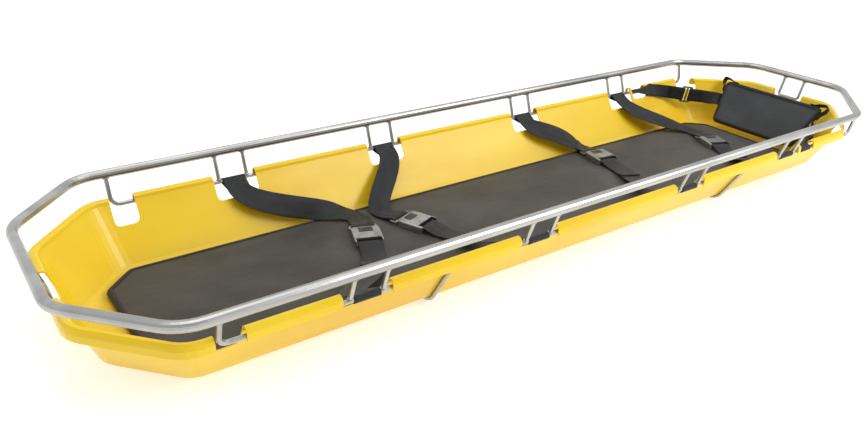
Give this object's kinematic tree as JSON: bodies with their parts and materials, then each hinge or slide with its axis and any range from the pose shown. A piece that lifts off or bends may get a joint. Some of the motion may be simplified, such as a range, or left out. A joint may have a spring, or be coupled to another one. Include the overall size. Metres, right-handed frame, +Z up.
{
  "type": "basket stretcher",
  "caption": "Moulded plastic basket stretcher in a steel tube frame, with lower rods, webbing restraints on push-button buckles, a mattress pad and a sliding padded footrest.",
  "frame": {"origin": "on the ground under the middle of the stretcher, on its long middle plane", "axes": "+X towards the foot end, +Y towards the left side of a patient who lies face up, +Z up"},
  "size_m": [2.134, 0.61, 0.1903],
  "materials": {
    "shell": "moulded polyethylene, slightly waxy",
    "steel": "satin stainless tube and rod",
    "pad": "coated charcoal fabric over closed-cell foam",
    "web": "woven black webbing",
    "buckle": "plated pressed steel",
    "button": "black moulded button"
  },
  "bodies": {
    "stretcher": {"shell": "shell", "top_rail": "steel", "head_bracket": "steel", "foot_bracket": "steel", "hoop_head": "steel", "hoop_foot": "steel", "lower_rod_left": "steel", "lower_rod_right": "steel", "chest_post_head_left": "steel", "chest_post_foot_left": "steel", "chest_post_head_right": "steel", "chest_post_foot_right": "steel", "waist_post_head_left": "steel", "waist_post_foot_left": "steel", "waist_post_head_right": "steel", "waist_post_foot_right": "steel", "thigh_post_head_left": "steel", "thigh_post_foot_left": "steel", "thigh_post_head_right": "steel", "thigh_post_foot_right": "steel", "shin_post_head_left": "steel", "shin_post_foot_left": "steel", "shin_post_head_right": "steel", "shin_post_foot_right": "steel", "mattress_pad": "pad", "chest_webbing_left": "web", "chest_webbing_right": "web", "waist_webbing_left": "web", "waist_webbing_right": "web", "thigh_webbing_left": "web", "thigh_webbing_right": "web", "shin_webbing_left": "web", "shin_webbing_right": "web", "chest_buckle_housing": "buckle", "waist_buckle_housing": "buckle", "thigh_buckle_housing": "buckle", "shin_buckle_housing": "buckle", "footrest_strap_left": "web", "footrest_strap_right": "web"},
    "chest_release": {"chest_button": "button", "chest_latch": "buckle"},
    "waist_release": {"waist_button": "button", "waist_latch": "buckle"},
    "thigh_release": {"thigh_button": "button", "thigh_latch": "buckle"},
    "shin_release": {"shin_button": "button", "shin_latch": "buckle"},
    "chest_tongue": {"chest_tongue": "buckle"},
    "waist_tongue": {"waist_tongue": "buckle"},
    "thigh_tongue": {"thigh_tongue": "buckle"},
    "shin_tongue": {"shin_tongue": "buckle"},
    "footrest": {"footrest_board": "pad", "footrest_tail_left": "web", "footrest_tail_right": "web", "footrest_adjuster_left": "buckle", "footrest_adjuster_right": "buckle", "footrest_loop_left": "web", "footrest_loop_right": "web"}
  },
  "joints": [
    {"name": "chest_button_press", "type": "slide", "parent": "stretcher", "child": "chest_release", "axis": [0, 0, -1], "range_m": [0, 0.0025], "stiffness_N_per_m": 800, "springref_m": -0.002},
    {"name": "waist_button_press", "type": "slide", "parent": "stretcher", "child": "waist_release", "axis": [0, 0, -1], "range_m": [0, 0.0025], "stiffness_N_per_m": 800, "springref_m": -0.002},
    {"name": "thigh_button_press", "type": "slide", "parent": "stretcher", "child": "thigh_release", "axis": [0, 0, -1], "range_m": [0, 0.0025], "stiffness_N_per_m": 800, "springref_m": -0.002},
    {"name": "shin_button_press", "type": "slide", "parent": "stretcher", "child": "shin_release", "axis": [0, 0, -1], "range_m": [0, 0.0025], "stiffness_N_per_m": 800, "springref_m": -0.002},
    {"name": "chest_tongue_pull", "type": "slide", "parent": "stretcher", "child": "chest_tongue", "axis": [0.342, 0.9397, 0], "range_m": [0, 0.028], "deforming": ["chest_webbing_left"]},
    {"name": "waist_tongue_pull", "type": "slide", "parent": "stretcher", "child": "waist_tongue", "axis": [-0.3746, 0.9272, 0], "range_m": [0, 0.028], "deforming": ["waist_webbing_left"]},
    {"name": "thigh_tongue_pull", "type": "slide", "parent": "stretcher", "child": "thigh_tongue", "axis": [0.1392, 0.9903, 0], "range_m": [0, 0.028], "deforming": ["thigh_webbing_left"]},
    {"name": "shin_tongue_pull", "type": "slide", "parent": "stretcher", "child": "shin_tongue", "axis": [0.3746, 0.9272, 0], "range_m": [0, 0.028], "deforming": ["shin_webbing_left"]},
    {"name": "footrest_adjust", "type": "slide", "parent": "stretcher", "child": "footrest", "axis": [-1, 0, 0], "range_m": [0, 0.09], "deforming": ["footrest_strap_left", "footrest_strap_right"]}
  ]
}
